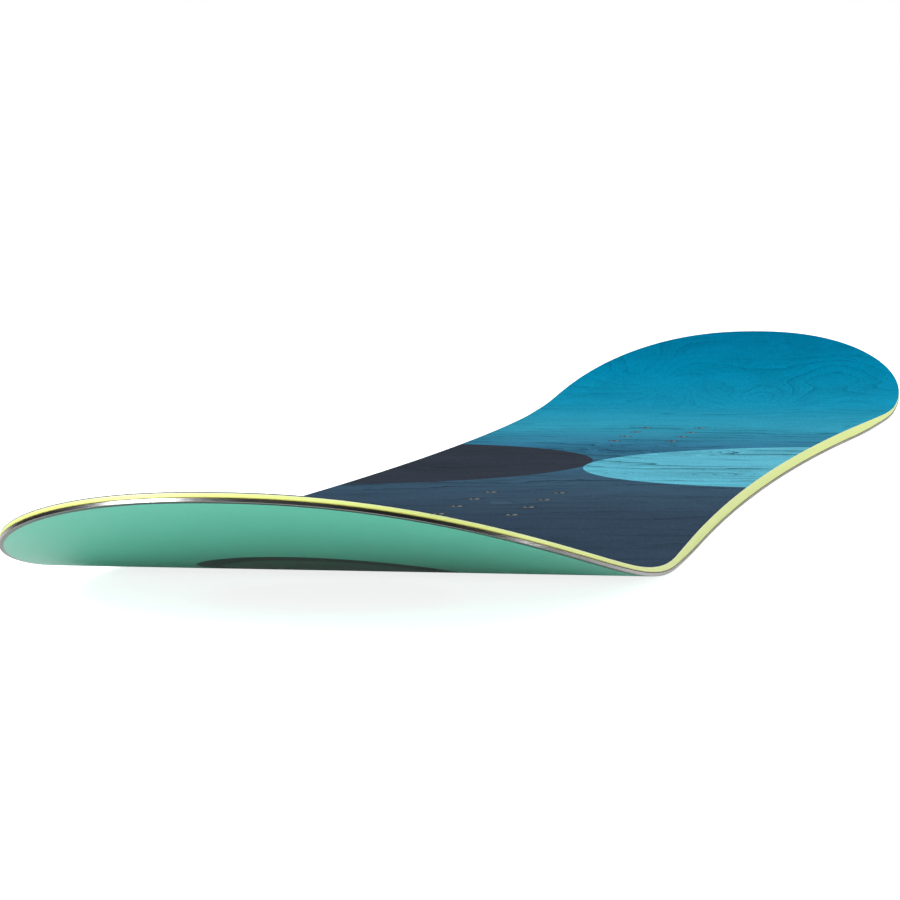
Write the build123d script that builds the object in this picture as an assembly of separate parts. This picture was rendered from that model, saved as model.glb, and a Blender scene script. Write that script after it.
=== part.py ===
from build123d import *
import math
import os

# A pressed sandwich snowboard with a twin outline, built up layer by layer.
# Frame: +X runs from the nose (-X) to the tail (+X), +Y is the left side, +Z is up.
# The origin is at mid length, on the centreline, on the plane that the flat base rests on.

# Plan outline
overall_length = 1440.0
waist_width = 236.6
sidecut_radius = 5580.0
sidecut_half_length = 464.5      # the sidecut arc ends here, each side of the middle
fairing_length = 57.5            # from the end of the sidecut to the widest point
tip_length_power = 2.74          # superellipse powers of the nose and tail
tip_width_power = 2.22
tip_points = 12                  # spans of the spline that draws one quarter tip

# Side profile of the base
flat_margin = 5.0                # dead flat past the rear insert mat
kick_start = 489.0               # where the nose and tail kicks begin
rocker_radius = 2700.0           # slow rise between the flat and the kick
kick_radius = 692.0

# Thickness of the whole board
mid_thickness = 8.8
tip_thickness = 4.1
taper_margin = 5.0               # the taper begins this far past the flat
taper_end = 580.0
taper_points = 14                # spans of the spline that draws the tapered deck

# Layers, from the base up
base_thickness = 1.2
edge_height = 1.7                # steel bar, its underside flush with the base
edge_width = 2.0
flange_thickness = 0.5           # the edge's anchor, which lies on the base sheet
flange_reach = 5.0
foil_thickness = 0.15            # rubber between the steel and the glass
lower_glass_thickness = 0.35
upper_glass_thickness = 0.35
topsheet_thickness = 0.45
sidewall_width = 7.0

# Core strips, as distances from the centreline
spacer_joint = 600.0             # the core ends here and the tip spacers begin
centre_strip_half_width = 10.0
insert_strip_edge = 30.0
mid_strip_edge = 56.0
outer_strip_edge = 84.0

# Binding inserts: M6 T-nuts in two rows
insert_pitch = 40.0
insert_columns = 4
insert_rows = 2
stance_offset = 12.5             # the stance centre sits this far towards the tail
half_stance = 244.0              # from the stance centre to each group's centre
barrel_radius = 4.75
bore_radius = 3.0
bore_chamfer = 0.4
insert_flange_radius = 8.5
insert_flange_thickness = 0.8
seal_thickness = 0.4
mat_thickness = 0.3              # glass mat that spreads the load above the core
mat_margin = 14.0                # from the outer inserts to the mat's edge

# Round die-cut inlay under the nose
inlay_x = -564.0
inlay_outer_radius = 58.0
inlay_ring_width = 12.0

# Helpers' own sizes
overrun = 12.0                   # how far slabs and prisms run past the board
half_length = overall_length / 2
sidecut_angle = math.asin(sidecut_half_length / sidecut_radius)
sidecut_centre_y = waist_width / 2 + sidecut_radius
fairing_radius = fairing_length / math.sin(sidecut_angle)
fairing_x = sidecut_half_length + fairing_length
fairing_start = Vector(sidecut_half_length, sidecut_centre_y - sidecut_radius * math.cos(sidecut_angle))
fairing_centre_y = fairing_start.Y - fairing_radius * math.cos(sidecut_angle)
tip_half_width = fairing_centre_y + fairing_radius
tip_reach = half_length - fairing_x

mat_length = insert_pitch * (insert_columns - 1) + 2 * mat_margin
mat_width = insert_pitch * (insert_rows - 1) + 2 * mat_margin
flat_half_length = abs(stance_offset) + half_stance + mat_length / 2 + flat_margin
taper_start = flat_half_length + taper_margin

rocker_angle = math.asin((kick_start - flat_half_length) / rocker_radius)
kick_centre_x = kick_start - kick_radius * math.sin(rocker_angle)
kick_centre_z = rocker_radius * (1 - math.cos(rocker_angle)) + kick_radius * math.cos(rocker_angle)
end_angle = math.asin((half_length + overrun - kick_centre_x) / kick_radius)

inner_line = edge_width + flange_reach          # inset of the edge flange's inner side
glass_top = edge_height + foil_thickness + lower_glass_thickness
core_depth = topsheet_thickness + upper_glass_thickness
reach_y = tip_half_width + overrun
reach_z = kick_centre_z - kick_radius * math.cos(end_angle) + mid_thickness + overrun


def tip_edge(inset):
    """Quarter of the tail's outline, from the widest point to the tip, moved inwards."""
    points = []
    for step in range(tip_points + 1):
        turn = math.pi / 2 * step / tip_points
        u = math.sin(turn) ** (2 / tip_length_power)
        v = abs(math.cos(turn)) ** (2 / tip_width_power)
        if step == tip_points:
            v = 0.0
        normal = Vector(u ** (tip_length_power - 1) * tip_length_power / tip_reach,
                        v ** (tip_width_power - 1) * tip_width_power / tip_half_width).normalized()
        points.append(Vector(fairing_x + tip_reach * u, tip_half_width * v) - normal * inset)
    return Spline(points, tangents=[(1, 0), (0, -1)])


def outline_face(inset):
    """The board's plan outline, moved inwards by inset, as a face on the XY plane."""
    arc_radius = sidecut_radius + inset
    centre = Vector(0, sidecut_centre_y)
    start = centre + Vector(0, -arc_radius)
    arc_end = centre + Vector(math.sin(sidecut_angle), -math.cos(sidecut_angle)) * arc_radius
    half_arc = sidecut_angle / 2
    arc_mid = centre + Vector(math.sin(half_arc), -math.cos(half_arc)) * arc_radius
    sidecut = ThreePointArc(start, arc_mid, arc_end)
    fair_radius = fairing_radius - inset
    fair_centre = Vector(fairing_x, fairing_centre_y)
    fair_mid = fair_centre + Vector(-math.sin(half_arc), math.cos(half_arc)) * fair_radius
    fairing = ThreePointArc(arc_end, fair_mid, fair_centre + Vector(0, fair_radius))
    quarter = [sidecut, fairing, tip_edge(inset)]
    right_half = quarter + [edge.mirror(Plane.XZ) for edge in quarter]
    whole = right_half + [edge.mirror(Plane.YZ) for edge in right_half]
    return Face(Wire(whole))


def prism(face):
    """A tall straight column over a plan face."""
    return extrude(Pos(0, 0, -overrun) * face, amount=reach_z + 2 * overrun, dir=(0, 0, 1))


def full_plan():
    """Column over the whole outline."""
    return prism(outline_face(0))


def inner_plan(inset):
    """Column over the outline moved inwards."""
    return prism(outline_face(inset))


def rim_plan(outer_inset, inner_inset):
    """Column over the band between two insets."""
    band = outline_face(outer_inset) - outline_face(inner_inset)
    return prism(band)


def right_box():
    """Everything on the right of the centreline."""
    box = Box(2 * half_length + 2 * overrun, reach_y, 2 * reach_z + 2 * overrun)
    return Pos(0, -reach_y / 2, 0) * box


def both_sides(right):
    """A right-hand piece and its mirror image on the left."""
    return {"right": right, "left": mirror(right, Plane.XZ)}


def span_box(x_low, x_high):
    """Everything between two stations along the board."""
    length = x_high - x_low
    box = Box(length, 2 * reach_y, 2 * reach_z + 2 * overrun)
    return Pos((x_low + x_high) / 2, 0, 0) * box


def strip_box(y_low, y_high):
    """Everything between two distances across the board, within the core's length."""
    width = y_high - y_low
    box = Box(2 * spacer_joint, width, 2 * reach_z + 2 * overrun)
    return Pos(0, (y_low + y_high) / 2, 0) * box


def total_thickness(x):
    """The board's thickness at a station, eased from the middle's to the tip's."""
    share = min(max((x - taper_start) / (taper_end - taper_start), 0.0), 1.0)
    ease = share * share * (3 - 2 * share)
    return mid_thickness + (tip_thickness - mid_thickness) * ease


def base_point(x):
    """Point of the base at a station x >= 0, and the angle of its slope there."""
    if x <= flat_half_length:
        return Vector(x, 0, 0), 0.0
    if x <= kick_start:
        angle = math.asin((x - flat_half_length) / rocker_radius)
        return Vector(x, 0, rocker_radius * (1 - math.cos(angle))), angle
    angle = math.asin((x - kick_centre_x) / kick_radius)
    return Vector(x, 0, kick_centre_z - kick_radius * math.cos(angle)), angle


def parallel_curve(height):
    """Half of the side curve that lies a constant height above the base, middle to tail."""
    start = Vector(0, 0, height)
    flat_end = Vector(flat_half_length, 0, height)
    rocker_centre = Vector(flat_half_length, 0, rocker_radius)
    kick_centre = Vector(kick_centre_x, 0, kick_centre_z)

    def on_arc(centre, radius, angle):
        return centre + Vector(math.sin(angle), 0, -math.cos(angle)) * (radius - height)

    rocker_mid = on_arc(rocker_centre, rocker_radius, rocker_angle / 2)
    rocker_end = on_arc(rocker_centre, rocker_radius, rocker_angle)
    kick_mid = on_arc(kick_centre, kick_radius, (rocker_angle + end_angle) / 2)
    kick_end = on_arc(kick_centre, kick_radius, end_angle)
    return [Line(start, flat_end),
            ThreePointArc(flat_end, rocker_mid, rocker_end),
            ThreePointArc(rocker_end, kick_mid, kick_end)]


def deck_curve(depth):
    """Half of the side curve that lies a constant depth below the tapered deck, middle to tail."""
    points = []
    for step in range(taper_points + 1):
        x = flat_half_length + (half_length + overrun - flat_half_length) * step / taper_points
        foot, angle = base_point(x)
        height = total_thickness(x) - depth
        points.append(foot + Vector(-math.sin(angle), 0, math.cos(angle)) * height)
    start = Vector(0, 0, mid_thickness - depth)
    rising = Spline(points, tangents=[(1, 0, 0), (math.cos(end_angle), 0, math.sin(end_angle))])
    return [Line(start, points[0]), rising]


def slab(lower, upper):
    """Solid between two half side curves, mirrored to both ends and wider than the board."""
    bottom_end = lower[-1] @ 1
    top_end = upper[-1] @ 1
    tail_half = lower + [Line(bottom_end, top_end)] + upper
    nose_half = [edge.mirror(Plane.YZ) for edge in tail_half]
    section = Face(Wire(tail_half + nose_half))
    return extrude(section, amount=reach_y, dir=(0, 1, 0), both=True)


def insert_places(end):
    """Insert centres of one group: end is -1 for the front foot, 1 for the rear."""
    group_x = stance_offset + end * half_stance
    places = GridLocations(insert_pitch, insert_pitch, insert_columns, insert_rows)
    return [Pos(group_x, 0, 0) * place for place in places]


def all_insert_places():
    """Insert centres of both groups."""
    return insert_places(-1) + insert_places(1)


def columns_at(places, radius, low, high):
    """Upright round columns between two heights, one at each place."""
    columns = []
    for place in places:
        column = Cylinder(radius, high - low, align=(Align.CENTER, Align.CENTER, Align.MIN))
        columns.append(place * Pos(0, 0, low) * column)
    return columns


# ---- base side ----

def inlay_column(radius):
    """Upright column through the round inlay's centre."""
    height = reach_z + overrun
    return Pos(inlay_x, 0, height / 2 - overrun) * Cylinder(radius, height)


def base_layer():
    """The running base before the inlay is cut."""
    return slab(parallel_curve(0), parallel_curve(base_thickness)) & inner_plan(edge_width)


def make_base():
    """Base sheet, inlay ring and inlay disc."""
    layer = base_layer()
    outer = inlay_column(inlay_outer_radius)
    inner = inlay_column(inlay_outer_radius - inlay_ring_width)
    sheet = layer - outer
    ring = (layer & outer) - inner
    disc = layer & inner
    return sheet, ring, disc


def make_steel_edge(x_low, x_high):
    """Right-hand steel edge between two stations: a square bar with a thin flange that anchors it."""
    bar = slab(parallel_curve(0), parallel_curve(edge_height)) & rim_plan(0, edge_width)
    flange_low = edge_height - flange_thickness
    flange = slab(parallel_curve(flange_low), parallel_curve(edge_height)) & rim_plan(edge_width, inner_line)
    return (bar + flange) & right_box() & span_box(x_low, x_high)


def make_edge_foil():
    """Right-hand strip of rubber foil, on top of the running edge and its flange."""
    foil_top = edge_height + foil_thickness
    foil = slab(parallel_curve(edge_height), parallel_curve(foil_top)) & rim_plan(0, inner_line)
    return foil & right_box() & span_box(-spacer_joint, spacer_joint)


def make_lower_glass(foils):
    """Lower laminate: a skin over the whole board, thicker where it fills between the flanges."""
    skin = slab(parallel_curve(edge_height), parallel_curve(glass_top)) & full_plan()
    filling = slab(parallel_curve(base_thickness), parallel_curve(glass_top)) & inner_plan(inner_line)
    laminate = skin + filling
    for foil in foils:
        laminate = laminate - foil
    return laminate


# ---- core level ----

def core_layer():
    """Everything between the two laminates."""
    return slab(parallel_curve(glass_top), deck_curve(core_depth))


def make_sidewall(layer):
    """Right-hand sidewall strip, between the tip spacers."""
    middle = span_box(-spacer_joint, spacer_joint)
    return layer & rim_plan(0, sidewall_width) & middle & right_box()


def make_tip_spacer(layer, sign):
    """Solid spacer that fills the nose or the tail beyond the core."""
    far = half_length + overrun
    low = min(sign * spacer_joint, sign * far)
    high = max(sign * spacer_joint, sign * far)
    return layer & full_plan() & span_box(low, high)


def mat_plate(end):
    """Outline of one reinforcing mat, as a tall column."""
    return Pos(stance_offset + end * half_stance, 0, reach_z / 2) * Box(mat_length, mat_width, reach_z)


def make_insert_mat(end):
    """Glass mat let into the top of the core, with a hole for each insert's barrel."""
    low = mid_thickness - core_depth - mat_thickness
    mat = slab(parallel_curve(low), parallel_curve(low + mat_thickness)) & mat_plate(end)
    for hole in columns_at(insert_places(end), barrel_radius, 0, mid_thickness):
        mat = mat - hole
    return mat


def make_core_strip(layer, y_low, y_high, cutters):
    """One glued strip of the wooden core, with the seats of the inserts and mats cut out."""
    strip = layer & inner_plan(sidewall_width) & strip_box(y_low, y_high)
    for cutter in cutters:
        strip = strip - cutter
    return strip


def core_cutters():
    """Space that the mats and the inserts take out of the core."""
    mat_low = mid_thickness - core_depth - mat_thickness
    above = Pos(0, 0, mat_low + reach_z) * Box(2 * half_length, 2 * reach_y, 2 * reach_z)
    mats = [mat_plate(end) & above for end in (-1, 1)]
    seat_top = glass_top + seal_thickness + insert_flange_thickness
    seats = columns_at(all_insert_places(), insert_flange_radius, glass_top - overrun, seat_top)
    barrels = columns_at(all_insert_places(), barrel_radius, 0, mid_thickness)
    return mats, seats + barrels


# ---- inserts ----

def make_inserts(end):
    """One group of M6 T-nuts, their tops flush with the deck."""
    flange_low = glass_top + seal_thickness
    height = mid_thickness - flange_low
    up = (Align.CENTER, Align.CENTER, Align.MIN)
    flange = Cylinder(insert_flange_radius, insert_flange_thickness, align=up)
    barrel = Cylinder(barrel_radius, height, align=up)
    bore = Cylinder(bore_radius, height, align=up)
    mouth = Pos(0, 0, height - bore_chamfer) * Cone(bore_radius, bore_radius + bore_chamfer,
                                                    bore_chamfer, align=up)
    nut = flange + barrel - bore - mouth
    return Compound(children=[place * Pos(0, 0, flange_low) * nut for place in insert_places(end)])


def make_insert_seals(end):
    """Plastic discs that close the inserts from below."""
    top = glass_top + seal_thickness
    return Compound(children=columns_at(insert_places(end), insert_flange_radius, glass_top, top))


# ---- deck side ----

def make_upper_glass():
    """Upper laminate over the whole board, pierced by the inserts."""
    skin = slab(deck_curve(core_depth), deck_curve(topsheet_thickness)) & full_plan()
    for hole in columns_at(all_insert_places(), barrel_radius, 0, mid_thickness):
        skin = skin - hole
    return skin


def make_topsheet():
    """Veneer topsheet, pierced by the inserts."""
    sheet = slab(deck_curve(topsheet_thickness), deck_curve(0)) & full_plan()
    for hole in columns_at(all_insert_places(), barrel_radius, 0, mid_thickness + overrun):
        sheet = sheet - hole
    return sheet


def build_nodes():
    """Every piece of the board, by name."""
    nodes = {}
    sheet, ring, disc = make_base()
    nodes["base_sheet"] = sheet
    nodes["base_inlay_ring"] = ring
    nodes["base_inlay_disc"] = disc
    far = half_length + overrun
    pairs = {
        "steel_edge": make_steel_edge(-spacer_joint, spacer_joint),
        "steel_edge_nose": make_steel_edge(-far, -spacer_joint),
        "steel_edge_tail": make_steel_edge(spacer_joint, far),
        "edge_foil": make_edge_foil(),
    }
    nodes["lower_glass_laminate"] = make_lower_glass(both_sides(pairs["edge_foil"]).values())
    layer = core_layer()
    mats, holes = core_cutters()
    pairs["sidewall"] = make_sidewall(layer)
    pairs["core_insert_strip"] = make_core_strip(
        layer, -insert_strip_edge, -centre_strip_half_width, mats + holes)
    pairs["core_mid_strip"] = make_core_strip(layer, -mid_strip_edge, -insert_strip_edge, mats)
    pairs["core_outer_strip"] = make_core_strip(layer, -outer_strip_edge, -mid_strip_edge, [])
    pairs["core_side_strip"] = make_core_strip(layer, -reach_y, -outer_strip_edge, [])
    for pair, piece in pairs.items():
        for side, shape in both_sides(piece).items():
            nodes[pair + "_" + side] = shape
    nodes["core_centre_strip"] = make_core_strip(
        layer, -centre_strip_half_width, centre_strip_half_width, mats)
    nodes["nose_spacer"] = make_tip_spacer(layer, -1)
    nodes["tail_spacer"] = make_tip_spacer(layer, 1)
    for foot, end in (("front", -1), ("rear", 1)):
        nodes["insert_mat_" + foot] = make_insert_mat(end)
        nodes["inserts_" + foot] = make_inserts(end)
        nodes["insert_seals_" + foot] = make_insert_seals(end)
    nodes["upper_glass_laminate"] = make_upper_glass()
    nodes["veneer_topsheet"] = make_topsheet()
    return nodes


os.makedirs("parts", exist_ok=True)
for name, shape in build_nodes().items():
    export_step(shape, "parts/" + name + ".step")
    print(name, round(shape.volume), "mm3")
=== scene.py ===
# %% [markdown]
# # A snowboard, made from its layers
# A snowboard is a pressed sandwich. From the base up it has a plastic running base with a steel
# edge round it, a glass skin, a wood core between plastic sidewalls, a second glass skin and a
# stained veneer deck. The CAD model has every layer in its place. This lesson keeps the layers
# that nobody sees, and makes the ones that show again, with finer meshes and real finishes.

# %% Load the CAD model
import math

import bmesh
import bpy
from mathutils import Matrix, Vector


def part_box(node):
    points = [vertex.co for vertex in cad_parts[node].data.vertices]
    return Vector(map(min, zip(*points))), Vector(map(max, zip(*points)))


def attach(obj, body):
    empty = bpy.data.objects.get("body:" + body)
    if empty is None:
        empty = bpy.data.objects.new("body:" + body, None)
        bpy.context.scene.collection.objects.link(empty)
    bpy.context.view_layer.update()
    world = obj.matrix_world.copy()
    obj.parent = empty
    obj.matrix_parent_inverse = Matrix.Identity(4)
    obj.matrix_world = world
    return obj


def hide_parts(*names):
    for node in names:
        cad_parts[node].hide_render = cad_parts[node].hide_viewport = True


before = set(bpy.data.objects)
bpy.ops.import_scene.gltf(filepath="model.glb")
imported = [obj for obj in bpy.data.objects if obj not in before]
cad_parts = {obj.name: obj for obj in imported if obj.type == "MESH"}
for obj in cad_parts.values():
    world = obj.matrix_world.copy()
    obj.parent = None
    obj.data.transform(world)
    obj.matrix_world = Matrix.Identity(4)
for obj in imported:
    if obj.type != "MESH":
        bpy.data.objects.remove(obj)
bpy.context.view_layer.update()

# %% [markdown]
# ## The board's numbers
# All sizes are in metres. The overall ones are read from the CAD nodes, and the rest repeat the
# sizes that the CAD model is drawn from: an outline made of a sidecut arc, a short fairing arc and
# a superellipse tip, and a side profile made of a flat, a slow rocker and a kick.

# %% Sizes of the outline, the side profile and the layers
half_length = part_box("lower_glass_laminate")[1].x
shape = {
    "Half length": half_length,
    "Half waist": 0.1183,
    "Sidecut radius": 5.58,
    "Sidecut half length": 0.4645,
    "Fairing length": 0.0575,
    "Tip length power": 2.74,
    "Tip width power": 2.22,
    "Flat half length": 0.3355,
    "Kick start": 0.489,
    "Rocker radius": 2.7,
    "Kick radius": 0.692,
    "Middle thickness": 0.0088,
    "Tip thickness": 0.0041,
    "Taper start": 0.3405,
    "Taper end": 0.58,
}
running_share = 0.6          # share of the stations that lies between the two tips
base_top = 0.0012
edge_top = 0.0017
edge_width = 0.002
flange_low = 0.0012
flange_inset = 0.007
foil_top = 0.00185
weld_distance = 0.000004     # the rows of a plate meet in one point at each tip
glass_top = 0.0022
core_depth = 0.0008
veneer_depth = 0.00045
sidewall_width = 0.007
joint_x = 0.6                # the sidewalls end here and the tip spacers begin
insert_pitch = 0.04
insert_columns, insert_rows = 4.0, 2.0
stance_centre = 0.0125
half_stance = 0.244
print("half length", round(half_length, 4), "m")

# %% [markdown]
# ## Arithmetic in node trees
# Geometry and shader trees both do sums with Math nodes. Placing dozens of them by hand hides the
# rule that they follow, so this small class lets a rule be written as ordinary arithmetic.

# %% A number inside a node tree
class Number:
    """A socket that can be added, multiplied and compared like an ordinary number."""

    def __init__(self, tree, socket):
        self.tree = tree
        self.socket = socket

    def __add__(self, other):
        return math_node(self.tree, "ADD", self, other)

    def __sub__(self, other):
        return math_node(self.tree, "SUBTRACT", self, other)

    def __rsub__(self, other):
        return math_node(self.tree, "SUBTRACT", other, self)

    def __mul__(self, other):
        return math_node(self.tree, "MULTIPLY", self, other)

    def __truediv__(self, other):
        return math_node(self.tree, "DIVIDE", self, other)

    def __rtruediv__(self, other):
        return math_node(self.tree, "DIVIDE", other, self)

    def __gt__(self, other):
        return math_node(self.tree, "GREATER_THAN", self, other)

    def __pow__(self, other):
        return math_node(self.tree, "POWER", self, other)

    __radd__ = __add__
    __rmul__ = __mul__


def math_node(tree, operation, *values):
    """A Math node fed with numbers or with other nodes' results."""
    node = tree.nodes.new("ShaderNodeMath")
    node.operation = operation
    for socket, value in zip(node.inputs, values):
        if isinstance(value, Number):
            tree.links.new(value.socket, socket)
        else:
            socket.default_value = value
    return Number(tree, node.outputs[0])


def apply(operation, *values):
    """The same, for operations that have no sign of their own, such as a sine."""
    tree = next(value.tree for value in values if isinstance(value, Number))
    return math_node(tree, operation, *values)


def limit(value, low, high):
    """value, kept between low and high."""
    return apply("MAXIMUM", apply("MINIMUM", value, high), low)


def pick(test, yes, no):
    """yes where test is 1, no where it is 0."""
    return yes * test + no * (1.0 - test)

print("arithmetic ready")

# %% [markdown]
# ## One rule for every layer
# Each layer has the same outline and follows the same side profile, and only its inset and its
# heights differ. So one Geometry Nodes tree places them all. It takes a blank, a plain ribbon whose
# points carry their station along the board, their place across it, their inset from the outline
# and their height, and it puts every point where the rule says.

# %% The tree that lays a blank on the board
def new_tree(name, numbers):
    """A Geometry Nodes tree with a geometry in and out, named number inputs and a finish."""
    tree = bpy.data.node_groups.new(name, "GeometryNodeTree")
    face = tree.interface
    face.new_socket("Geometry", in_out="INPUT", socket_type="NodeSocketGeometry")
    for label in numbers:
        face.new_socket(label, in_out="INPUT", socket_type="NodeSocketFloat")
    face.new_socket("Finish", in_out="INPUT", socket_type="NodeSocketMaterial")
    face.new_socket("Geometry", in_out="OUTPUT", socket_type="NodeSocketGeometry")
    start = tree.nodes.new("NodeGroupInput")
    return tree, start


def named(tree, label):
    """A number that the blank's points carry."""
    node = tree.nodes.new("GeometryNodeInputNamedAttribute")
    node.data_type = "FLOAT"
    node.inputs["Name"].default_value = label
    return Number(tree, node.outputs["Attribute"])


def close_tree(tree, start, geometry):
    """Ends a tree with real geometry that wears its finish."""
    real = tree.nodes.new("GeometryNodeRealizeInstances")
    finish = tree.nodes.new("GeometryNodeSetMaterial")
    end = tree.nodes.new("NodeGroupOutput")
    tree.links.new(geometry, real.inputs[0])
    tree.links.new(real.outputs[0], finish.inputs["Geometry"])
    tree.links.new(start.outputs["Finish"], finish.inputs["Material"])
    tree.links.new(finish.outputs[0], end.inputs[0])


layer_tree, start = new_tree("board_layer", shape)
size = {label: Number(layer_tree, start.outputs[label]) for label in shape}
station = named(layer_tree, "station")
across = named(layer_tree, "across")
inset = named(layer_tree, "inset")
own_height = named(layer_tree, "height")
follows = named(layer_tree, "follows")

# Outline: how far along and how far out the rim is at this station, and which way it faces
away = apply("ABSOLUTE", station)
fairing_x = size["Sidecut half length"] + size["Fairing length"]
bend = apply("ARCSINE", size["Sidecut half length"] / size["Sidecut radius"])
fairing_radius = size["Fairing length"] / apply("SINE", bend)
arc_centre = size["Half waist"] + size["Sidecut radius"]
fairing_centre = arc_centre - (size["Sidecut radius"] + fairing_radius) * apply("COSINE", bend)
run_x = limit(away / running_share, 0.0, 1.0) * fairing_x
in_fairing = run_x > size["Sidecut half length"]
sidecut_y = arc_centre - apply("SQRT", size["Sidecut radius"] ** 2.0 - run_x ** 2.0)
back = run_x - fairing_x
fairing_reach = apply("MAXIMUM", fairing_radius ** 2.0 - back * back, 0.0)
fairing_y = fairing_centre + apply("SQRT", fairing_reach)
run_y = pick(in_fairing, fairing_y, sidecut_y)
run_face = pick(in_fairing, back / fairing_radius, run_x * -1.0 / size["Sidecut radius"])
turn = limit((away - running_share) / (1.0 - running_share), 0.0, 1.0) * (math.pi / 2)
tip_reach = size["Half length"] - fairing_x
tip_u = apply("SINE", turn) ** (2.0 / size["Tip length power"])
tip_v = apply("MAXIMUM", apply("COSINE", turn), 0.0) ** (2.0 / size["Tip width power"])
rim_x = run_x + tip_reach * tip_u
rim_y = run_y * tip_v
slope_x = size["Tip length power"] * tip_u ** (size["Tip length power"] - 1.0) / tip_reach
slope_y = size["Tip width power"] * tip_v ** (size["Tip width power"] - 1.0) / run_y
slope = apply("SQRT", slope_x * slope_x + slope_y * slope_y)
face_x = limit(run_face + slope_x / slope, -1.0, 1.0)
face_y = apply("SQRT", apply("MAXIMUM", 1.0 - face_x * face_x, 0.0))
along = rim_x - face_x * inset
out = (rim_y - face_y * inset) * across

# Side profile: how high the base is there, and how steep
rocker_length = size["Kick start"] - size["Flat half length"]
rocker_turn = apply("ARCSINE", rocker_length / size["Rocker radius"])
past_flat = apply("MAXIMUM", along - size["Flat half length"], 0.0)
rocker_reach = past_flat / size["Rocker radius"]
rocker_angle = apply("MINIMUM", apply("ARCSINE", rocker_reach), rocker_turn)
rocker_z = size["Rocker radius"] * (1.0 - apply("COSINE", rocker_angle))
kick_x = size["Kick start"] - size["Kick radius"] * apply("SINE", rocker_turn)
rocker_rise = size["Rocker radius"] * (1.0 - apply("COSINE", rocker_turn))
kick_z = rocker_rise + size["Kick radius"] * apply("COSINE", rocker_turn)
kick_angle = apply("ARCSINE", (along - kick_x) / size["Kick radius"])
kicked = along > size["Kick start"]
angle = pick(kicked, kick_angle, rocker_angle)
foot_z = pick(kicked, kick_z - size["Kick radius"] * apply("COSINE", kick_angle), rocker_z)

# Thickness eases from the middle's to the tip's
share = limit((along - size["Taper start"]) / (size["Taper end"] - size["Taper start"]), 0.0, 1.0)
ease = share * share * (3.0 - 2.0 * share)
thickness = size["Middle thickness"] + (size["Tip thickness"] - size["Middle thickness"]) * ease
height = own_height + thickness * follows
place = layer_tree.nodes.new("ShaderNodeCombineXYZ")
for socket, value in zip(place.inputs, (
        (along - apply("SINE", angle) * height) * apply("SIGN", station),
        out,
        foot_z + apply("COSINE", angle) * height)):
    layer_tree.links.new(value.socket, socket)
lay = layer_tree.nodes.new("GeometryNodeSetPosition")
layer_tree.links.new(start.outputs["Geometry"], lay.inputs["Geometry"])
layer_tree.links.new(place.outputs[0], lay.inputs["Position"])
weld = layer_tree.nodes.new("GeometryNodeMergeByDistance")
weld.inputs["Distance"].default_value = weld_distance
layer_tree.links.new(lay.outputs[0], weld.inputs["Geometry"])
close_tree(layer_tree, start, weld.outputs[0])
print("board_layer tree has", len(layer_tree.nodes), "nodes")

# %% [markdown]
# ## Blanks
# A blank is a closed ribbon: the same cross-section of corners at every station, joined by faces.
# A plate such as the deck has rows of points right across, and a rim piece such as the steel edge
# has only the corners of its own small section. The stations crowd together round the tips,
# where the outline turns fastest.

# %% Helpers that make a blank
def stations(low, high, step=0.0035):
    """Stations from low to high, evenly spread."""
    count = max(2, round((high - low) / step))
    return [low + (high - low) * i / count for i in range(count + 1)]


def station_at(x):
    """The station, from 0 to 1, at which the rim is x metres from the middle."""
    fairing_end = shape["Sidecut half length"] + shape["Fairing length"]
    if x <= fairing_end:
        return running_share * x / fairing_end
    reach = (x - fairing_end) / (half_length - fairing_end)
    angle = math.asin(reach ** (shape["Tip length power"] / 2))
    return running_share + (1 - running_share) * angle / (math.pi / 2)


def blank(name, places, section):
    """A closed ribbon with the section's corners (across, inset, height, follows) at each place."""
    count = len(section)
    points = [(place, corner[0], corner[2]) for place in places for corner in section]
    faces = []
    for i in range(len(places) - 1):
        for j in range(count):
            k = (j + 1) % count
            faces.append((i * count + j, i * count + k, (i + 1) * count + k, (i + 1) * count + j))
    faces.append(tuple(range(count)))
    last = (len(places) - 1) * count
    faces.append(tuple(range(last + count - 1, last - 1, -1)))
    mesh = bpy.data.meshes.new(name)
    mesh.from_pydata(points, [], faces)
    columns = {"station": [place for place in places for _ in section]}
    for index, label in enumerate(("across", "inset", "height", "follows")):
        columns[label] = [corner[index] for _ in places for corner in section]
    for label, values in columns.items():
        mesh.attributes.new(label, "FLOAT", "POINT").data.foreach_set("value", values)
    return mesh


def plate(low, high, follow_low=0, follow_high=0, inset=0.0, rows=28, rounding=0.0):
    """Corners of a plate's section: its lower side, then its upper side, whose rim can be round."""
    def side(height, follow, direction, inset):
        return [(direction * (2 * i / rows - 1), inset, height, follow) for i in range(rows + 1)]

    lower = side(low, follow_low, 1, inset)
    upper = side(high, follow_high, -1, inset + rounding)
    if rounding:
        curve = [(rounding * 0.3, rounding * 0.3), (0.0, rounding)]
        first, last = upper[0][0], upper[-1][0]
        upper = ([(first, inset + i, high - drop, follow_high) for i, drop in reversed(curve)] + upper
                 + [(last, inset + i, high - drop, follow_high) for i, drop in curve])
    return lower + upper

print("running stations:", len(stations(-running_share, running_share)))

# %% [markdown]
# ## From a blank to a finished piece
# The tree runs as a modifier. Its result is copied to a plain mesh, so the modifier and the blank
# can go. The copy's faces are turned outwards, and its edges stay sharp where two sides meet.

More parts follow.
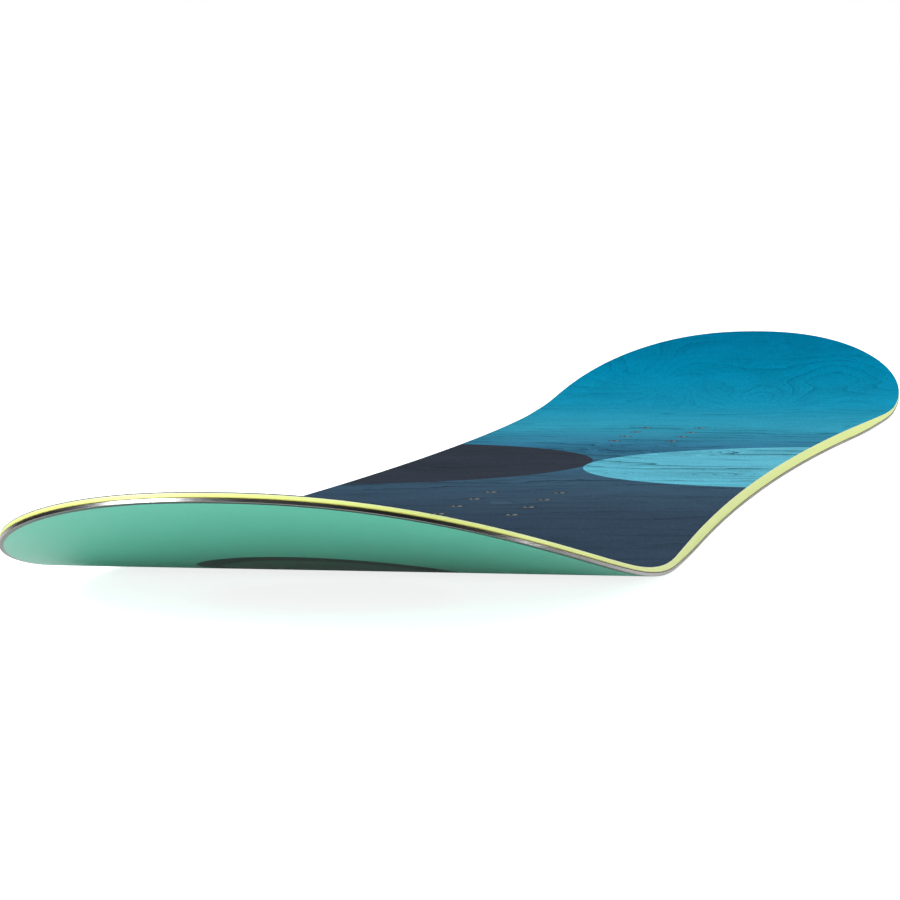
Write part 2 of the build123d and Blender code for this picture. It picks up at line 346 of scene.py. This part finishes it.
# %% Helpers that finish a piece
def run_tree(tree, mesh, name, values, finish):
    """A new object whose mesh is what the tree makes of the given mesh."""
    carrier = bpy.data.objects.new(name, mesh)
    bpy.context.collection.objects.link(carrier)
    modifier = carrier.modifiers.new("tree", "NODES")
    modifier.node_group = tree
    for item in tree.interface.items_tree:
        if item.in_out == "INPUT" and item.name in values:
            modifier[item.identifier] = values[item.name]
        if item.in_out == "INPUT" and item.name == "Finish":
            modifier[item.identifier] = finish
    bpy.context.view_layer.update()
    evaluated = carrier.evaluated_get(bpy.context.evaluated_depsgraph_get())
    result = bpy.data.meshes.new_from_object(evaluated)
    carrier.modifiers.remove(modifier)
    bpy.data.objects.remove(carrier)
    piece = bpy.data.objects.new(name, result)
    bpy.context.collection.objects.link(piece)
    return piece


def smooth(piece, crease=35):
    """Shades the piece smooth, but keeps edges sharper than crease degrees crisp."""
    piece.data.shade_smooth()
    piece.data.set_sharp_from_angle(angle=math.radians(crease))


def tidy_faces(piece, crease=35):
    """Turns the faces outwards, drops the blank's numbers and smooths the piece."""
    work = bmesh.new()
    work.from_mesh(piece.data)
    bmesh.ops.recalc_face_normals(work, faces=work.faces)
    work.to_mesh(piece.data)
    work.free()
    for label in ("station", "across", "inset", "height", "follows"):
        if label in piece.data.attributes:
            piece.data.attributes.remove(piece.data.attributes[label])
    smooth(piece, crease)
    return piece


def seat(piece, slot, *nodes):
    """The piece takes the place of its CAD nodes and rides on the board."""
    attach(piece, "root")
    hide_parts(*nodes)
    print(piece.name, len(piece.data.polygons), "faces")
    return piece


def make_layer(name, mesh, finish):
    """A layer laid on the board and tidied."""
    return tidy_faces(run_tree(layer_tree, mesh, name, shape, finish))


def cut(piece, cutter, operation="DIFFERENCE"):
    """Takes the cutter's shape out of the piece, or keeps only what they share."""
    modifier = piece.modifiers.new("cut", "BOOLEAN")
    modifier.operation = operation
    modifier.solver = "EXACT"
    modifier.object = cutter
    bpy.context.view_layer.update()
    evaluated = piece.evaluated_get(bpy.context.evaluated_depsgraph_get())
    result = bpy.data.meshes.new_from_object(evaluated)
    piece.modifiers.remove(modifier)
    piece.data = result
    return piece

print("helpers ready")

# %% [markdown]
# ## Helpers for finishes
# Every finish is a small shader tree. The helpers below hold the steps that all of them share: a
# new material, a noise that can be stretched along the grain, a ramp of colours, and a bump.
# Positions are read from Object coordinates, which are the board's own metres.

# %% Shader helpers
def new_finish(name, roughness, specular=0.5, metallic=0.0):
    """A material, its tree, its shader and the object's own position."""
    material = bpy.data.materials.new(name)
    material.use_nodes = True
    tree = material.node_tree
    shader = tree.nodes["Principled BSDF"]
    shader.inputs["Roughness"].default_value = roughness
    shader.inputs["Specular IOR Level"].default_value = specular
    shader.inputs["Metallic"].default_value = metallic
    position = tree.nodes.new("ShaderNodeTexCoord").outputs["Object"]
    return material, tree, shader, position


def axes_of(tree, position):
    """The position's x, y and z as numbers."""
    node = tree.nodes.new("ShaderNodeSeparateXYZ")
    tree.links.new(position, node.inputs[0])
    return [Number(tree, node.outputs[i]) for i in range(3)]


def noise(tree, position, stretch, detail=4.0, roughness=0.55, shift=(0, 0, 0), distortion=0.0):
    """Noise whose grains per metre are given for each axis."""
    mapping = tree.nodes.new("ShaderNodeMapping")
    mapping.inputs["Scale"].default_value = stretch
    mapping.inputs["Location"].default_value = shift
    tree.links.new(position, mapping.inputs["Vector"])
    node = tree.nodes.new("ShaderNodeTexNoise")
    node.inputs["Scale"].default_value = 1.0
    node.inputs["Detail"].default_value = detail
    node.inputs["Roughness"].default_value = roughness
    node.inputs["Distortion"].default_value = distortion
    tree.links.new(mapping.outputs[0], node.inputs["Vector"])
    return Number(tree, node.outputs[0])


def ramp(tree, value, stops):
    """A colour picked from (place, colour) stops by a number from 0 to 1."""
    node = tree.nodes.new("ShaderNodeValToRGB")
    ends = node.color_ramp.elements
    while len(ends) > 1:
        ends.remove(ends[-1])
    ends[0].position = stops[0][0]
    ends[0].color = (*stops[0][1], 1)
    for place, colour in stops[1:]:
        ends.new(place).color = (*colour, 1)
    tree.links.new(value.socket, node.inputs[0])
    return node.outputs[0]


def blend_colours(tree, factor, first, second):
    """first where the factor is 0, second where it is 1."""
    node = tree.nodes.new("ShaderNodeMix")
    node.data_type = "RGBA"
    tree.links.new(factor.socket, node.inputs["Factor"])
    for socket, value in ((node.inputs[6], first), (node.inputs[7], second)):
        if isinstance(value, tuple):
            socket.default_value = (*value, 1)
        else:
            tree.links.new(value, socket)
    return node.outputs[2]


def shade(tree, colour, amount):
    """The colour multiplied by a number."""
    node = tree.nodes.new("ShaderNodeVectorMath")
    node.operation = "SCALE"
    if isinstance(colour, tuple):
        node.inputs[0].default_value = colour
    else:
        tree.links.new(colour, node.inputs[0])
    tree.links.new(amount.socket, node.inputs["Scale"])
    return node.outputs[0]


def emboss(tree, shader, height, depth):
    """Bumps of the given depth in metres."""
    node = tree.nodes.new("ShaderNodeBump")
    node.inputs["Strength"].default_value = 1.0
    node.inputs["Distance"].default_value = depth
    tree.links.new(height.socket, node.inputs["Height"])
    tree.links.new(node.outputs[0], shader.inputs["Normal"])


def screen(red, green, blue):
    """A colour given in screen values from 0 to 255, as the linear colour that shaders use."""
    def linear(value):
        return value / 12.92 if value < 0.0404 else ((value + 0.055) / 1.055) ** 2.4
    return tuple(linear(value / 255) for value in (red, green, blue))

print("finishes can be mixed")

# %% [markdown]
# ## The stained veneer
# The deck is one sheet of wood veneer, stained from slate at the nose through steel blue to cyan at
# the tail, with two discs that meet at the centreline: one almost black and one pale. Its growth
# lines run across the board. They are the level lines of a smooth hill, mostly slanting along
# the board, and a few knots push them into hooks and swirls. Fine fibres and pores lie on top.

# %% Where the stain, the discs and the knots are
stain_stops = [
    (0.0, screen(48, 64, 80)), (0.28, screen(50, 67, 84)), (0.37, screen(55, 76, 94)),
    (0.45, screen(58, 87, 108)), (0.53, screen(54, 102, 126)), (0.60, screen(52, 112, 142)),
    (0.67, screen(52, 134, 162)), (0.72, screen(50, 147, 174)), (0.80, screen(40, 144, 174)),
    (0.87, screen(20, 137, 171)), (0.94, screen(4, 129, 166)), (1.0, screen(2, 112, 150))]
dark_place, dark_stain = (stance_centre, 0.1515, 0.1505), screen(50, 56, 66)
pale_place, pale_stain = (stance_centre + 0.002, -0.1405, 0.1425), screen(92, 176, 198)
tick_stain = screen(150, 170, 182)
tick_half_length, tick_half_width = 0.006, 0.0004
rim_sharpness = 2500.0       # a disc's rim fades over 0.4 mm
knots = (                    # centre x and y, reach along x and y, and push
    (-0.050, -0.060, 0.012, 0.040, 4.2), (0.112, -0.046, 0.013, 0.022, -4.0),
    (0.150, -0.004, 0.016, 0.022, 3.0), (0.128, 0.050, 0.014, 0.034, -2.4),
    (0.545, -0.030, 0.045, 0.022, 4.0), (0.560, 0.042, 0.055, 0.018, -3.6),
    (0.430, 0.090, 0.034, 0.030, 3.0), (0.640, 0.085, 0.050, 0.026, 3.0),
    (0.620, -0.085, 0.040, 0.030, -2.6), (0.330, -0.070, 0.020, 0.040, 2.0),
    (-0.340, 0.060, 0.030, 0.040, 2.4), (-0.500, -0.040, 0.040, 0.050, 2.6))
print(len(stain_stops), "stain colours and", len(knots), "knots")

# %% Patterns of the veneer
def disc(x, y, place):
    """1 inside a disc given by its centre and radius, 0 outside."""
    centre_x, centre_y, radius = place
    step_x, step_y = x - centre_x, y - centre_y
    distance = apply("SQRT", step_x * step_x + step_y * step_y)
    return limit((radius - distance) * rim_sharpness, 0.0, 1.0)


def knot(x, y, place):
    """A smooth bump that pushes the growth lines aside."""
    centre_x, centre_y, reach_x, reach_y, push = place
    step_x, step_y = (x - centre_x) / reach_x, (y - centre_y) / reach_y
    return apply("EXPONENT", (step_x * step_x + step_y * step_y) * -1.0) * push


def growth_lines(tree, position, x, y):
    """Level lines of a hill: the broad ones and the fine ones between them."""
    wander = noise(tree, position, (5.0, 3.2, 1.0), detail=3.0)
    drift = noise(tree, position, (22.0, 6.0, 1.0), roughness=0.6, shift=(3.0, 1.0, 0.0))
    hill = x * 30.0 + y * 3.0 + wander * 6.0 + drift * 1.8
    for place in knots:
        hill = hill + knot(x, y, place)
    return apply("FRACT", hill) ** 4.0, apply("FRACT", hill * 3.0 + drift * 2.0) ** 2.5

print("patterns ready")

# %% Veneer finish
def make_veneer():
    material, tree, shader, position = new_finish("stained_veneer", 0.5, 0.0)
    x, y, _ = axes_of(tree, position)
    dark_disc = disc(x, y, dark_place)
    colour = ramp(tree, (x + half_length) / (2 * half_length), stain_stops)
    colour = blend_colours(tree, dark_disc, colour, dark_stain)
    colour = blend_colours(tree, disc(x, y, pale_place), colour, pale_stain)

    # The lines are strong in places, most of all round the middle of the board
    line, fine_line = growth_lines(tree, position, x, y)
    strength = noise(tree, position, (14.0, 8.0, 1.0), shift=(7.0, 0.0, 0.0))
    middle = limit(1.3 - apply("ABSOLUTE", x - 0.07) * 4.5, 0.0, 1.0)
    strength = limit((strength - 0.36) * 4.5, 0.12, 1.0) * (0.36 + middle * 0.84)
    fibre = noise(tree, position, (1100.0, 55.0, 1.0), detail=5.0, roughness=0.7)
    fleck = noise(tree, position, (110.0, 800.0, 1.0), detail=3.0, roughness=0.75, shift=(5.0, 5.0, 0.0))
    pores = noise(tree, position, (420.0, 110.0, 1.0), detail=3.0, shift=(0.0, 9.0, 0.0))
    pores = limit((pores - 0.60) * 9.0, 0.0, 1.0)
    cloud = noise(tree, position, (9.0, 12.0, 1.0), detail=5.0, roughness=0.6,
                  shift=(0.0, 4.0, 0.0), distortion=1.2)
    figure = line * strength * 0.62 + fine_line * strength * 0.34 + pores * 0.20
    figure = figure * (1.0 - dark_disc * 0.75)
    light = (1.0 - figure) * (0.88 + fibre * 0.44) * (0.68 + fleck * 0.74) * (0.84 + cloud * 0.40)
    colour = shade(tree, colour, light)

    # A short pale tick across the middle of each insert group
    tick_y = limit((tick_half_length - apply("ABSOLUTE", y)) * 4000.0, 0.0, 1.0)
    for group in (stance_centre - half_stance, stance_centre + half_stance):
        mark = limit((tick_half_width - apply("ABSOLUTE", x - group)) * 8000.0, 0.0, 1.0) * tick_y
        colour = blend_colours(tree, mark * 0.7, colour, tick_stain)
    tree.links.new(colour, shader.inputs["Base Color"])
    worn = noise(tree, position, (30.0, 30.0, 30.0), shift=(2.0, 2.0, 2.0))
    gloss = worn * 0.16 + fibre * 0.12 + 0.36
    tree.links.new(gloss.socket, shader.inputs["Roughness"])
    emboss(tree, shader, fibre * 0.6 - pores - line * 0.5, 0.00004)
    return material


stained_veneer = make_veneer()
print("stained_veneer has", len(stained_veneer.node_tree.nodes), "nodes")

# %% [markdown]
# ## The plastics, glass and steel
# The sidewall is milled lime plastic with faint cutter lines. The glass skins show only as thin
# pale lines at the rim. The base is sintered plastic that a stone has ground lengthwise, so its
# gloss and bump run in fine lines along the board. The steel edge is ground the same way, along
# its length, and is darker where it has been handled. Its underside is painted darker as well: a
# painted shade for the dark shadow under the nose that it mirrors, not a stain.

# %% Finishes of the rim, the base and the hidden layers
def make_plastic(name, colour, roughness, lines, depth, mottle=0.10, specular=0.5):
    """Plastic with a slight mottle and fine tool lines; lines gives their number per metre."""
    material, tree, shader, position = new_finish(name, roughness, specular)
    patch = noise(tree, position, (14.0, 18.0, 60.0))
    grit = noise(tree, position, lines, roughness=0.65, shift=(1.0, 2.0, 3.0))
    light = 1.0 - mottle / 2 + (patch - 0.5) * mottle + grit * mottle * 0.6
    tree.links.new(shade(tree, colour, light), shader.inputs["Base Color"])
    gloss = grit * 0.16 + patch * 0.10 + (roughness - 0.13)
    tree.links.new(gloss.socket, shader.inputs["Roughness"])
    emboss(tree, shader, grit, depth)
    return material


def make_steel(name, colour, roughness, lines):
    """Ground steel: long scratches, darker handled patches, and an underside painted darker as painted shade.
    """
    material, tree, shader, position = new_finish(name, roughness, 0.5, 1.0)
    scratch = noise(tree, position, lines, detail=5.0, roughness=0.7)
    patch = noise(tree, position, (20.0, 24.0, 40.0), shift=(5.0, 0.0, 0.0))
    handled, painted_underside_shade = (tuple(part * share for part in colour) for share in (0.72, 0.22))
    tone = blend_colours(tree, limit(patch * 2.0 - 0.6, 0.0, 1.0), colour, handled)
    # Faces that point down are painted darker: this is painted shade for the shadow they mirror, not a stain
    # of the steel
    facing = axes_of(tree, tree.nodes.new("ShaderNodeNewGeometry").outputs["Normal"])[2]
    tone = blend_colours(tree, limit(facing * -4.0 - 2.4, 0.0, 1.0), tone, painted_underside_shade)
    tree.links.new(shade(tree, tone, scratch * 0.3 + 0.84), shader.inputs["Base Color"])
    gloss = scratch * 0.22 + patch * 0.14 + (roughness - 0.16)
    tree.links.new(gloss.socket, shader.inputs["Roughness"])
    emboss(tree, shader, scratch, 0.00002)
    return material


def make_planed_wood(name, pale, dark):
    """Planed core wood with its grain along the board."""
    material, tree, shader, position = new_finish(name, 0.6, 0.3)
    grain = noise(tree, position, (6.0, 260.0, 260.0), detail=5.0, roughness=0.6, distortion=0.4)
    tree.links.new(ramp(tree, grain, [(0.3, dark), (0.7, pale)]), shader.inputs["Base Color"])
    tree.links.new((grain * 0.2 + 0.5).socket, shader.inputs["Roughness"])
    emboss(tree, shader, grain, 0.00003)
    return material


base_lines, base_depth, base_mottle = (9.0, 2400.0, 40.0), 0.000006, 0.06
fine_grain, soft_grain = (900.0, 900.0, 900.0), (800.0, 800.0, 800.0)
lime_plastic = make_plastic("lime_plastic", screen(230, 245, 146), 0.38, (500.0, 500.0, 2600.0), 0.00001)
pale_glass = make_plastic("pale_glass", screen(240, 248, 190), 0.30, fine_grain, 0.00001)
amber_glass = make_plastic("amber_glass", screen(206, 204, 110), 0.30, fine_grain, 0.00001)
mint_base = make_plastic("mint_base", screen(108, 216, 188), 0.34, base_lines, base_depth, base_mottle, 0.9)
teal_base = make_plastic("teal_base", screen(8, 46, 44), 0.34, base_lines, base_depth, base_mottle)
grey_green_base = make_plastic("grey_green_base", screen(74, 122, 106), 0.34, base_lines, base_depth,
                               base_mottle)
black_rubber = make_plastic("black_rubber", screen(30, 30, 32), 0.7, soft_grain, 0.00002)
seal_plastic = make_plastic("seal_plastic", screen(60, 60, 64), 0.5, soft_grain, 0.00002)
glass_mat = make_plastic("glass_mat", screen(224, 228, 208), 0.45, (1500.0, 1500.0, 900.0), 0.00004, 0.2)
edge_steel = make_steel("edge_steel", (0.42, 0.42, 0.41), 0.20, (60.0, 60.0, 4200.0))
insert_steel = make_steel("insert_steel", (0.14, 0.165, 0.18), 0.22, fine_grain)
beech = make_planed_wood("beech", (0.62, 0.42, 0.26), (0.42, 0.25, 0.14))
poplar = make_planed_wood("poplar", (0.78, 0.66, 0.46), (0.60, 0.48, 0.30))
print(len(bpy.data.materials), "finishes")

# %% [markdown]
# ## Threaded inserts
# Each binding insert is a turned T-nut: a wide flange that sits under the core and a threaded
# barrel that ends flush with the deck. One nut is turned from its profile, and a Geometry Nodes
# tree sets it out on the square pitch, because the same nut repeats sixteen times.

# %% One nut and the tree that sets the nuts out
nut_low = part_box("inserts_front")[0].z
nut_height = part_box("inserts_front")[1].z - nut_low
barrel_radius = 0.00475
bore_radius = 0.003
thread_depth = 0.0004
thread_pitch = 0.0007
flange_radius = 0.0085
flange_height = 0.0008


def turned(name, profile):
    """A ring turned about Z, whose cut face is the closed profile of (radius, height)."""
    sides = 40
    points, faces = [], []
    count = len(profile)
    for i in range(sides):
        angle = 2 * math.pi * i / sides
        points += [(radius * math.cos(angle), radius * math.sin(angle), height) for radius, height in profile]
    for i in range(sides):
        for j in range(count):
            here, there = i * count, (i + 1) % sides * count
            k = (j + 1) % count
            faces.append((here + j, here + k, there + k, there + j))
    mesh = bpy.data.meshes.new(name)
    mesh.from_pydata(points, [], faces)
    return mesh


def nut_profile():
    """Flange, barrel with a chamfered mouth, and a bore with thread grooves."""
    top = nut_height
    outline = [(flange_radius - 0.0003, 0.0), (flange_radius, 0.0002), (flange_radius, 0.0007),
               (flange_radius - 0.0002, flange_height), (barrel_radius, flange_height),
               (barrel_radius, top - 0.0002), (barrel_radius - 0.0002, top),
               (bore_radius + 0.0004, top), (bore_radius, top - 0.0004)]
    crest = bore_radius - thread_depth
    level = top - 0.0004
    while level > 0.0012:
        outline += [(crest, level - 0.0003), (crest, level - 0.0004), (bore_radius, level - thread_pitch)]
        level -= thread_pitch
    return outline + [(bore_radius, 0.0)]


nut_tree, start = new_tree("nut_rows", ["Pitch", "Columns", "Rows", "Group centre", "Seat height"])
rows = nut_tree.nodes.new("GeometryNodeMeshGrid")
for axis, label in (("X", "Columns"), ("Y", "Rows")):
    span = (Number(nut_tree, start.outputs[label]) - 1.0) * Number(nut_tree, start.outputs["Pitch"])
    nut_tree.links.new(span.socket, rows.inputs["Size " + axis])
    nut_tree.links.new(start.outputs[label], rows.inputs["Vertices " + axis])
moved = nut_tree.nodes.new("GeometryNodeSetPosition")
offset = nut_tree.nodes.new("ShaderNodeCombineXYZ")
nut_tree.links.new(start.outputs["Group centre"], offset.inputs["X"])
nut_tree.links.new(start.outputs["Seat height"], offset.inputs["Z"])
nut_tree.links.new(rows.outputs["Mesh"], moved.inputs["Geometry"])
nut_tree.links.new(offset.outputs[0], moved.inputs["Offset"])
placed = nut_tree.nodes.new("GeometryNodeInstanceOnPoints")
nut_tree.links.new(moved.outputs[0], placed.inputs["Points"])
nut_tree.links.new(start.outputs["Geometry"], placed.inputs["Instance"])
close_tree(nut_tree, start, placed.outputs[0])


def nut_values(side, seat_height):
    """The tree's inputs for the group on one side of the stance centre."""
    return {"Pitch": insert_pitch, "Columns": insert_columns, "Rows": insert_rows,
            "Group centre": stance_centre + side * half_stance, "Seat height": seat_height}


for foot, side in (("front", -1), ("rear", 1)):
    nut = turned("nut_blank", nut_profile())
    nuts = run_tree(nut_tree, nut, "nut_rows_" + foot, nut_values(side, nut_low), insert_steel)
    seat(tidy_faces(nuts, 30), "insert_steel", "inserts_" + foot)

# %% [markdown]
# ## The deck and the glass skins
# The deck is a plate that covers the whole outline, with its upper rim rounded by sanding, and it
# has a hole over each insert. The two glass skins are the same plate at other heights, and the
# upper one has the same holes, drilled by the same tools.

# %% Veneer deck with its insert holes
whole_board = stations(-1, 1)
deck_section = plate(-veneer_depth, 0.0, 1, 1, rounding=0.00022)
deck = make_layer("deck", blank("deck_blank", whole_board, deck_section), stained_veneer)
reach = 0.002                # the drills reach this far above and below the deck
drill = turned("drill_blank", [(0.0, -reach), (barrel_radius, -reach), (barrel_radius, reach), (0.0, reach)])
deck_level = shape["Middle thickness"]
drills = [run_tree(nut_tree, drill.copy(), "drill", nut_values(side, deck_level), stained_veneer)
          for side in (-1, 1)]
for tool in drills:
    work = bmesh.new()
    work.from_mesh(tool.data)
    bmesh.ops.remove_doubles(work, verts=work.verts, dist=0.000001)
    bmesh.ops.recalc_face_normals(work, faces=work.faces)
    work.to_mesh(tool.data)
    work.free()
    cut(deck, tool)
smooth(deck)
seat(deck, "stained_veneer", "veneer_topsheet")

# %% Glass skins above and below the core
upper_skin = make_layer("upper_skin", blank("upper_skin_blank", whole_board,
                        plate(-core_depth, -veneer_depth, 1, 1, rows=4)), pale_glass)
for tool in drills:
    cut(upper_skin, tool)
    bpy.data.objects.remove(tool)
smooth(upper_skin)
seat(upper_skin, "glass_laminate", "upper_glass_laminate")
lower_skin = make_layer("lower_skin", blank("lower_skin_blank", whole_board,
                        plate(foil_top, glass_top, rows=4)), amber_glass)
seat(lower_skin, "glass_laminate", "lower_glass_laminate")

# %% [markdown]
# ## The rim: sidewalls, tip spacers and foils
# Between the glass skins the rim is lime plastic. Beside the core it is a strip seven millimetres
# wide, and beyond the core a solid spacer fills the whole tip. Rim pieces are ribbons with a small
# section of their own, and the left one is the right one with its place across turned over.

# %% Lime sidewalls and tip spacers
def strip(section, side):
    """The corners of a rim piece's section, on one side of the board."""
    return [(side, inset, height, follows) for inset, height, follows in section]


joint = station_at(joint_x)
sides = {"right": -1.0, "left": 1.0}
wall_section = [(0.0, glass_top, 0), (sidewall_width, glass_top, 0),
                (sidewall_width, -core_depth, 1), (0.0, -core_depth, 1)]
for name, side in sides.items():
    wall = blank("wall_blank", stations(-joint, joint), strip(wall_section, side))
    seat(make_layer("lime_wall_" + name, wall, lime_plastic), "sidewall_lime", "sidewall_" + name)
for name, low, high in (("nose", -1, -joint), ("tail", joint, 1)):
    filler = blank("filler_blank", stations(low, high), plate(glass_top, -core_depth, 0, 1, rows=8))
    seat(make_layer("lime_filler_" + name, filler, lime_plastic), "sidewall_lime", name + "_spacer")

# %% [markdown]
# ## The steel edge
# The edge is a square bar with a thin flange that runs inwards under the glass and anchors it. Its
# outer corners are broken by a light bevel, which is what catches the light. It wraps the whole
# board in six lengths that meet in butt joints.

# %% Steel edge in six lengths, with its rubber foil
bevel = 0.00018
bar_section = [(bevel, 0.0, 0), (0.0, bevel, 0), (0.0, edge_top - bevel, 0), (bevel, edge_top, 0),
               (flange_inset, edge_top, 0), (flange_inset, flange_low, 0), (edge_width, flange_low, 0),
               (edge_width, 0.0, 0)]
foil_section = [(0.0, edge_top, 0), (flange_inset, edge_top, 0),
                (flange_inset, foil_top, 0), (0.0, foil_top, 0)]
lengths = (("steel_edge_", -joint, joint), ("steel_edge_nose_", -1, -joint), ("steel_edge_tail_", joint, 1))
for name, side in sides.items():
    for stem, low, high in lengths:
        bar = blank("bar_blank", stations(low, high), strip(bar_section, side))
        seat(make_layer("bar_" + stem + name, bar, edge_steel), "edge_steel", stem + name)
    foil = blank("foil_blank", stations(-joint, joint), strip(foil_section, side))
    seat(make_layer("foil_" + name, foil, black_rubber), "edge_rubber", "edge_foil_" + name)

# %% [markdown]
# ## The running base and its inlay
# The base is a plate inside the steel edge. Under the nose a disc and a ring of other colours are
# let into it, cut by the same two round dies that cut the hole. Here the dies are two tall
# cylinders, and each piece is what they leave of the same plate.

# %% Base sheet, inlay ring and inlay disc
inlay_low, inlay_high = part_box("base_inlay_ring")
inlay_x = (inlay_low.x + inlay_high.x) / 2
inlay_radius = (inlay_high.y - inlay_low.y) / 2
core_low, core_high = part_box("base_inlay_disc")
inlay_core_radius = (core_high.y - core_low.y) / 2


def die(name, radius):
    """A tall round die under the nose."""
    mesh = bpy.data.meshes.new(name)
    work = bmesh.new()
    bmesh.ops.create_cone(work, cap_ends=True, segments=256, radius1=radius, radius2=radius, depth=0.2,
                          matrix=Matrix.Translation((inlay_x, 0, 0)))
    work.to_mesh(mesh)
    work.free()
    tool = bpy.data.objects.new(name, mesh)
    bpy.context.collection.objects.link(tool)
    return tool


def base_plate(name, places, finish):
    """The plate that all three base pieces are cut from."""
    section = plate(0.0, base_top, inset=edge_width, rows=28)
    return make_layer(name, blank(name + "_blank", places, section), finish)


outer_die = die("outer_die", inlay_radius)
inner_die = die("inner_die", inlay_core_radius)
margin = inlay_radius + 0.01
inlay_span = stations(-station_at(abs(inlay_x) + margin), -station_at(abs(inlay_x) - margin))
sheet = cut(base_plate("running_base", whole_board, mint_base), outer_die)
ring = cut(cut(base_plate("inlay_ring", inlay_span, teal_base), outer_die, "INTERSECT"), inner_die)
middle = cut(base_plate("inlay_middle", inlay_span, grey_green_base), inner_die, "INTERSECT")
for tool in (outer_die, inner_die):
    bpy.data.objects.remove(tool)
for piece, slot_name, node in ((sheet, "base_mint", "base_sheet"), (ring, "base_teal", "base_inlay_ring"),
                               (middle, "base_grey_green", "base_inlay_disc")):
    smooth(piece)
    seat(piece, slot_name, node)

# %% [markdown]
# ## Layers that stay as CAD nodes
# The core strips, the mats and the seals are inside the board and their CAD shapes are right. They
# keep them, and only get a finish. A node wears the first finish whose name fits the start of its.

# %% Finishes for the hidden layers
hidden = {"core_insert_strip": beech, "core_side_strip": beech, "core": poplar,
          "insert_mat": glass_mat, "insert_seals": seal_plastic}
for name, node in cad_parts.items():
    finish = next((hidden[stem] for stem in hidden if name.startswith(stem)), None)
    if finish:
        node.data.materials.clear()
        node.data.materials.append(finish)
        print(name, "wears", finish.name)

# %% [markdown]
# ## Studio
# The board lies on a plain white floor. A bright ceiling and three softboxes light it, and the
# walls of the studio are dark, so that the deck keeps its colour at a low angle and the steel has
# something dark to mirror. The camera itself sees a white backdrop, and a floor that glows for it
# alone, which keeps the floor white out to the horizon. The camera stands low in front of the nose
# and a little to its right, with a long lens, so that the nose fills the front of the frame.

# %% Floor
floor_reach = 12
floor_height = -0.0002       # a hair below the base, so that the two faces don't fight
floor_mesh = bpy.data.meshes.new("floor")
floor_mesh.from_pydata([(floor_reach * x, floor_reach * y, floor_height)
                        for x, y in ((-1, -1), (1, -1), (1, 1), (-1, 1))], [], [(0, 1, 2, 3)])
floor = bpy.data.objects.new("floor", floor_mesh)
bpy.context.collection.objects.link(floor)
floor_finish, tree, shader, position = new_finish("floor_paint", 0.9, 0.0)
tint = blend_colours(tree, noise(tree, position, (40.0, 40.0, 1.0)), (0.80, 0.80, 0.80), (0.82, 0.82, 0.82))
tree.links.new(tint, shader.inputs["Base Color"])
shader.inputs["Emission Color"].default_value = (1, 1, 1, 1)
seen = Number(tree, tree.nodes.new("ShaderNodeLightPath").outputs["Is Camera Ray"])
tree.links.new((seen * 0.8).socket, shader.inputs["Emission Strength"])
floor_mesh.materials.append(floor_finish)
print("floor is", 2 * floor_reach, "m wide")

# %% Studio walls, ceiling and softboxes
world = bpy.data.worlds.new("studio")
bpy.context.scene.world = world
world.use_nodes = True
tree = world.node_tree
background = tree.nodes["Background"]
direction = tree.nodes.new("ShaderNodeTexCoord").outputs["Generated"]
east, north, up = axes_of(tree, direction)
overhead = ramp(tree, up, [(0.0, (0.03, 0.03, 0.03)), (0.30, (0.05, 0.05, 0.05)), (0.70, (1.5, 1.5, 1.5))])
# A black flag hangs up at the front right, where the steel round the nose mirrors the ceiling
flag = limit((east * -0.62 + north * -0.50 + up * 0.60 - 0.45) * 5.0, 0.0, 1.0)
overhead = blend_colours(tree, flag, overhead, (0.02, 0.02, 0.02))
seen = Number(tree, tree.nodes.new("ShaderNodeLightPath").outputs["Is Camera Ray"])
tree.links.new(blend_colours(tree, seen, overhead, (1.0, 1.0, 1.0)), background.inputs["Color"])


def softbox(name, place, target, width, height, power):
    """A rectangular soft light aimed at a point."""
    lamp = bpy.data.lights.new(name, "AREA")
    lamp.shape = "RECTANGLE"
    lamp.size, lamp.size_y, lamp.energy = width, height, power
    holder = bpy.data.objects.new(name, lamp)
    holder.location = place
    holder.rotation_euler = (Vector(target) - Vector(place)).to_track_quat("-Z", "Y").to_euler()
    bpy.context.collection.objects.link(holder)


softbox("left_softbox", (-1.9, 1.6, 1.35), (-0.6, 0, 0), 1.0, 0.8, 26)
softbox("right_softbox", (1.3, -2.5, 0.9), (0.1, 0, 0), 2.4, 0.9, 50)
softbox("low_front_softbox", (-3.4, -0.2, 0.45), (-0.7, 0, 0), 1.8, 0.3, 46)
print(len(bpy.data.lights), "softboxes")

# %% Camera
lens_data = bpy.data.cameras.new("camera")
lens_data.lens = 118
lens_data.sensor_width = 36
lens_data.clip_end = 50
camera = bpy.data.objects.new("camera", lens_data)
right = Vector((0.245713, -0.969258, -0.012822))
down = Vector((-0.082556, -0.007745, -0.996556))
forward = Vector((0.965821, 0.245926, -0.081921))
camera.matrix_world = Matrix.Translation((-1.803583, -0.371605, 0.171152)) @ Matrix(
    (right, -down, -forward)).transposed().to_4x4()
bpy.context.collection.objects.link(camera)
bpy.context.scene.camera = camera
bpy.context.scene.view_settings.view_transform = "Standard"
print("camera at", [round(v, 3) for v in camera.location])
